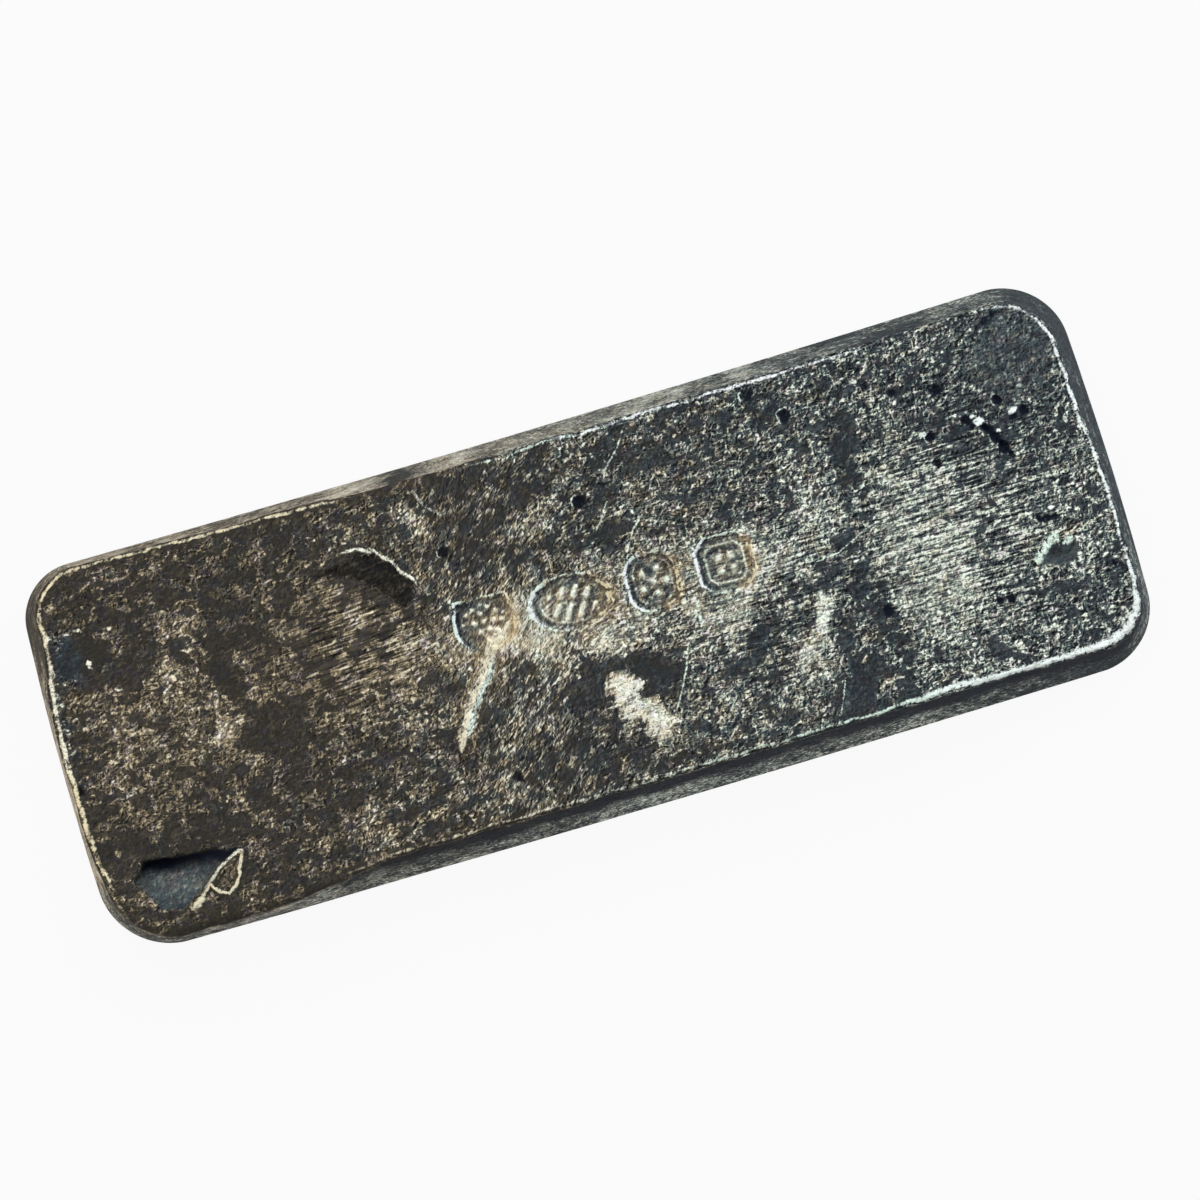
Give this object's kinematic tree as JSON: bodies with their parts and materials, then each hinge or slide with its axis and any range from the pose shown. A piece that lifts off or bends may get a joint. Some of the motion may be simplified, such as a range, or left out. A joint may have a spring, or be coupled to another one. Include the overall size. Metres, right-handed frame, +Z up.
{
  "type": "silver ingot",
  "caption": "Small cast silver bar with sloping walls and rounded corners, tarnished nearly black, with a row of shallow struck recesses and casting flaws on its upper face.",
  "frame": {"origin": "centre of the base, where the bar rests", "axes": "+X along the length, away from the corner void; +Y towards the back wall, across the width; +Z up, out of the struck face"},
  "size_m": [0.0804, 0.0295, 0.0136],
  "materials": {
    "tarnished_silver": "old cast silver under a patchy dark grey-brown tarnish, rubbed bright on the edges and high spots"
  },
  "bodies": {
    "root": {"ingot": "tarnished_silver"}
  },
  "joints": []
}
